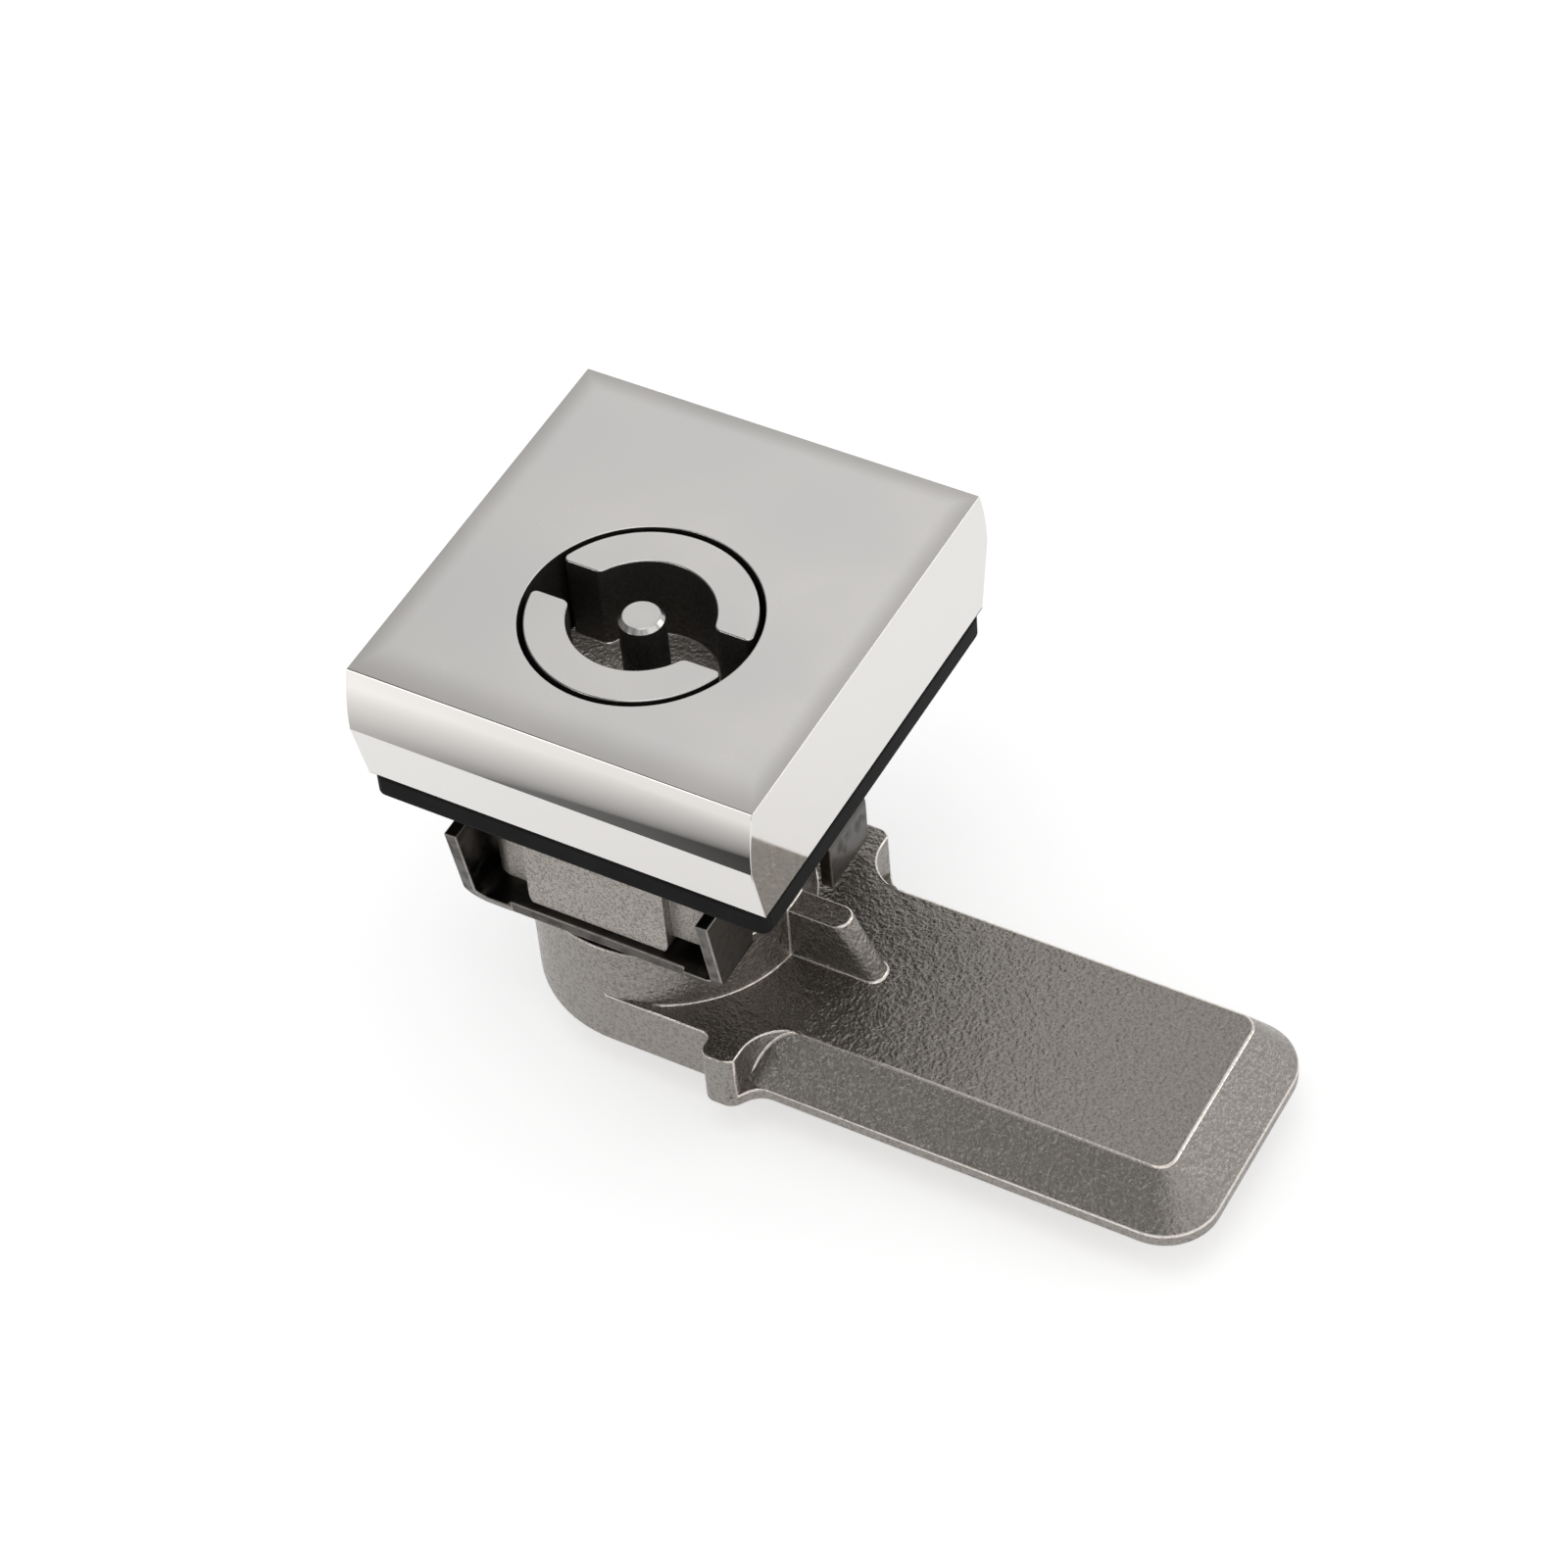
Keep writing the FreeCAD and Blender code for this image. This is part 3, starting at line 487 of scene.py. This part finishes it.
def softened(name, cad_node, body, materials, width, choose=one_finish, distinct_edges=False,
             keep_within=math.inf, crease=EDGE_ANGLE):
    """Copy of a CAD node with rounded edges and a finish for each of its faces.

    A piece may have the last of its materials on its rounded edges; on the cam and the clip that
    finish is lighter, a painted highlight along the edges.
    """
    piece = placed(name, finished_mesh(cad_node, materials, choose, crease, keep_within))
    round_edges(piece, width, len(materials) - 1 if distinct_edges else SAME_FINISH)
    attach(piece, body)
    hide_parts(cad_node)


def build_housing_pieces():
    """Head with its gasket, and the clip with its ring."""
    softened("lock_housing", "housing", "housing",
             [SATIN_TOP, POLISHED_SIDE, BLASTED_SHANK, BORE_SHADE], HEAD_ROUND,
             choose=housing_face, crease=RIDGE_ANGLE)
    softened("gasket", "face_gasket", "housing", [BLACK_RUBBER], GASKET_ROUND)
    # the clip's rounded edges are painted lighter, as a highlight
    softened("clip", "mounting_clip", "housing", [ROLLED_SHEET, SHEET_EDGE_HIGHLIGHT], CLIP_ROUND,
             distinct_edges=True)
    softened("clip_ring", "clip_retaining_ring", "housing", [PLATED_STEEL],
             FASTENER_ROUND)


def build_rotor_pieces():
    """Rotor with its pin and seal, and the cam with its washers and screw."""
    softened("rotor", "key_rotor", "rotor", [LAND_TOP, WELL_FLOOR, BORE_SHADE, PIN_END],
             ROTOR_ROUND, choose=rotor_face, distinct_edges=True)
    softened("pin", "key_pin", "rotor", [PIN_END, BORE_SHADE], PIN_ROUND, choose=pin_face)
    softened("seal_ring", "rotor_seal", "rotor", [BLACK_RUBBER], SEAL_ROUND)
    softened("running_washer", "thrust_washer", "rotor", [RUNNING_WASHER],
             RUNNING_ROUND)
    # the cam's rounded edges are painted lighter, as a highlight
    softened("cast_cam", "cam", "rotor", [CAST_CAM, CAM_EDGE_HIGHLIGHT], CAM_ROUND,
             distinct_edges=True, keep_within=HUB_TANGENT)
    softened("washer", "cam_washer", "rotor", [PLATED_STEEL], FASTENER_ROUND)
    softened("spring_washer", "cam_spring_washer", "rotor", [PLATED_STEEL],
             FASTENER_ROUND)
    softened("screw", "cam_screw", "rotor", [PLATED_STEEL], SCREW_ROUND)


# Stage

FLOOR_HALF = 1.5
FLOOR_GREY = 0.9
FLOOR_ROUGHNESS = 0.9
FLOOR_SEEN = 0.5                      # glow that brings the floor up to white in the picture
FLOOR_MIRRORED = 0.4                  # and in reflections

# Card that gives the head's front its bands; shares run from its near right corner
CARD_LIFT = 1 * MM
CARD_NEAR_Y, CARD_FAR_Y = -0.031, -0.240
CARD_NEAR_X = (0.040, -0.055)
CARD_FAR_X = (0.020, -0.180)
CARD_CORNERS = ((0, 0), (1, 0), (1, 1), (0, 1))
CARD_DARKEST = 0.04
CARD_BRIGHTEST = 1.15
CARD_MIDDLE = 0.5
CARD_RISE = (0.07, 0.35)              # it gets brighter over this part of its depth
CARD_RISE_GAIN = 0.88
CARD_RISE_POWER = 0.5
CARD_SLANT = 0.2                      # and the sooner, the further to the left
CARD_LEFT = (0.31, 1.0)               # and over this part of its width, to the left
CARD_LEFT_GAIN = 0.36
CARD_WARMTH = 0.012

# Sky in reflections: brighter to the right, darker to the left of what a flat top mirrors
SKY_BRIGHT_SIDE = (0.824, 0.566, 0.0)
SKY_LEVEL = 0.72
SKY_CONTRAST = 0.9
SKY_DARKEST = 0.2
SKY_BRIGHTEST = 0.85
SKY_CLUTTER = (0.5, 1.5)              # soft dark and light shapes of a room
SKY_CLUTTER_SCALE = 5.0
SKY_CLUTTER_RANGE = (0.38, 0.62)
SKY_LIGHT = 0.55                      # the sky's level as a light

# Soft square lamps: name, place, width and watts
LAMP_AIM = Vector((0.01, 0, 0))
LAMPS = (("top_lamp", (0.05, -0.12, 0.65), 0.30, 0.35),
         ("side_lamp", (0.55, 0.45, 0.25), 0.25, 0.25),
         ("front_lamp", (-0.28, -0.55, 0.25), 0.18, 0.25))


def flat_sheet(name, corners):
    """Mesh of one face with four corners."""
    mesh = bpy.data.meshes.new(name)
    mesh.from_pydata(corners, [], [(0, 1, 2, 3)])
    return mesh


def empty_tree(owner):
    """Node tree of a material or world, with no nodes yet."""
    owner.use_nodes = True
    owner.node_tree.nodes.clear()
    return owner.node_tree


def ray_masks(tree):
    """Rays that make the picture, straight or through glass, and rays of a reflection."""
    rays = node(tree, "ShaderNodeLightPath").outputs
    seen = math_node(tree, "MAXIMUM", rays["Is Camera Ray"], rays["Is Transmission Ray"])
    return seen, rays["Is Glossy Ray"]


def card_material():
    """Glow that is dark near the lock, bright far off and brighter on the left."""
    material = bpy.data.materials.new("front_card")
    tree = empty_tree(material)
    place = node(tree, "ShaderNodeTexCoord").outputs["UV"]
    split = node(tree, "ShaderNodeSeparateXYZ", {"Vector": place}).outputs
    off_middle = math_node(tree, "SUBTRACT", split["X"], CARD_MIDDLE)
    slanted = math_node(tree, "MULTIPLY_ADD", off_middle, CARD_SLANT, split["Y"])
    rise = math_node(tree, "POWER", ramp(tree, slanted, *CARD_RISE), CARD_RISE_POWER)
    level = math_node(tree, "MULTIPLY_ADD", rise, CARD_RISE_GAIN, CARD_DARKEST)
    left = ramp(tree, split["X"], *CARD_LEFT)
    level = math_node(tree, "MULTIPLY_ADD", left, CARD_LEFT_GAIN, level)
    level = math_node(tree, "MINIMUM", level, CARD_BRIGHTEST)
    glow = node(tree, "ShaderNodeEmission", {"Color": grey(1.0, CARD_WARMTH), "Strength": level})
    out = node(tree, "ShaderNodeOutputMaterial")
    tree.links.new(glow.outputs[0], out.inputs["Surface"])
    return material


def build_front_card():
    """Card on the floor that shows only in reflections."""
    low = FLOOR_LEVEL + CARD_LIFT
    right_near, left_near = ((x, CARD_NEAR_Y, low) for x in CARD_NEAR_X)
    right_far, left_far = ((x, CARD_FAR_Y, low) for x in CARD_FAR_X)
    mesh = flat_sheet("front_card", [right_near, left_near, left_far, right_far])
    layer = mesh.uv_layers.new(name="UVMap")
    for loop, share in zip(layer.data, CARD_CORNERS):
        loop.uv = share
    card = placed("front_card", mesh)
    mesh.materials.append(card_material())
    card.visible_camera = False
    card.visible_diffuse = False
    card.visible_shadow = False
    card.visible_transmission = False


def build_floor():
    """Plain pale floor that keeps the lock's shadow and shows white in reflections."""
    corners = [(x * FLOOR_HALF, y * FLOOR_HALF, FLOOR_LEVEL)
               for x, y in ((-1, -1), (1, -1), (1, 1), (-1, 1))]
    mesh = flat_sheet("floor", corners)
    floor = placed("floor", mesh)
    material = bpy.data.materials.new("pale_floor")
    material.use_nodes = True
    tree = material.node_tree
    shader = tree.nodes["Principled BSDF"]
    shader.inputs["Base Color"].default_value = grey(FLOOR_GREY)
    shader.inputs["Roughness"].default_value = FLOOR_ROUGHNESS
    shader.inputs["Specular IOR Level"].default_value = 0.0
    seen, mirrored = ray_masks(tree)
    lift = math_node(tree, "MULTIPLY", seen, FLOOR_SEEN)
    shine = math_node(tree, "MULTIPLY", mirrored, FLOOR_MIRRORED)
    shader.inputs["Emission Color"].default_value = grey(1.0)
    tree.links.new(math_node(tree, "MAXIMUM", lift, shine), shader.inputs["Emission Strength"])
    mesh.materials.append(material)


def mirrored_sky(tree):
    """Level of the sky in reflections: a slope from dark to bright, with soft shapes on it."""
    place = node(tree, "ShaderNodeTexCoord").outputs["Generated"]
    lean = node(tree, "ShaderNodeVectorMath", {0: place, 1: SKY_BRIGHT_SIDE}, operation="DOT_PRODUCT")
    slope = math_node(tree, "MULTIPLY_ADD", lean.outputs["Value"], SKY_CONTRAST, SKY_LEVEL)
    slope = math_node(tree, "MAXIMUM", slope, SKY_DARKEST)
    slope = math_node(tree, "MINIMUM", slope, SKY_BRIGHTEST)
    shapes = node(tree, "ShaderNodeTexNoise", {
        "Vector": place, "Scale": SKY_CLUTTER_SCALE, "Detail": 1.0})
    clutter = ramp(tree, shapes.outputs[0], *SKY_CLUTTER_RANGE, *SKY_CLUTTER, smooth=True)
    return math_node(tree, "MULTIPLY", slope, clutter)


def build_world():
    """World that is white to the camera, dimmer as a light, and a lively sky in reflections."""
    world = bpy.data.worlds.new("studio")
    scene.world = world
    tree = empty_tree(world)
    seen, mirrored = ray_masks(tree)
    plain_level = math_node(tree, "MAXIMUM", seen, SKY_LIGHT)
    level = blend(tree, mirrored, plain_level, mirrored_sky(tree))
    back = node(tree, "ShaderNodeBackground", {"Color": grey(1.0), "Strength": level})
    out = node(tree, "ShaderNodeOutputWorld")
    tree.links.new(back.outputs[0], out.inputs["Surface"])


def build_lamps():
    """Soft square lamps aimed at the lock."""
    for name, place, width, watts in LAMPS:
        data = bpy.data.lights.new(name, "AREA")
        data.size = width
        data.energy = watts
        lamp = placed(name, data)
        lamp.location = place
        lamp.rotation_euler = (LAMP_AIM - Vector(place)).to_track_quat("-Z", "Y").to_euler()


def build_camera():
    """Camera at the photograph's place."""
    data = bpy.data.cameras.new("camera")
    data.lens = CAMERA_LENS
    data.sensor_width = SENSOR_WIDTH
    data.clip_start = NEAREST_SEEN
    camera = placed("camera", data)
    camera.location = CAMERA_PLACE
    camera.rotation_euler = [math.radians(turn) for turn in CAMERA_TURN]
    scene.camera = camera


build_camera()
build_housing_pieces()
build_rotor_pieces()
build_floor()
build_world()
build_lamps()
build_front_card()
scene.view_settings.view_transform = "Standard"
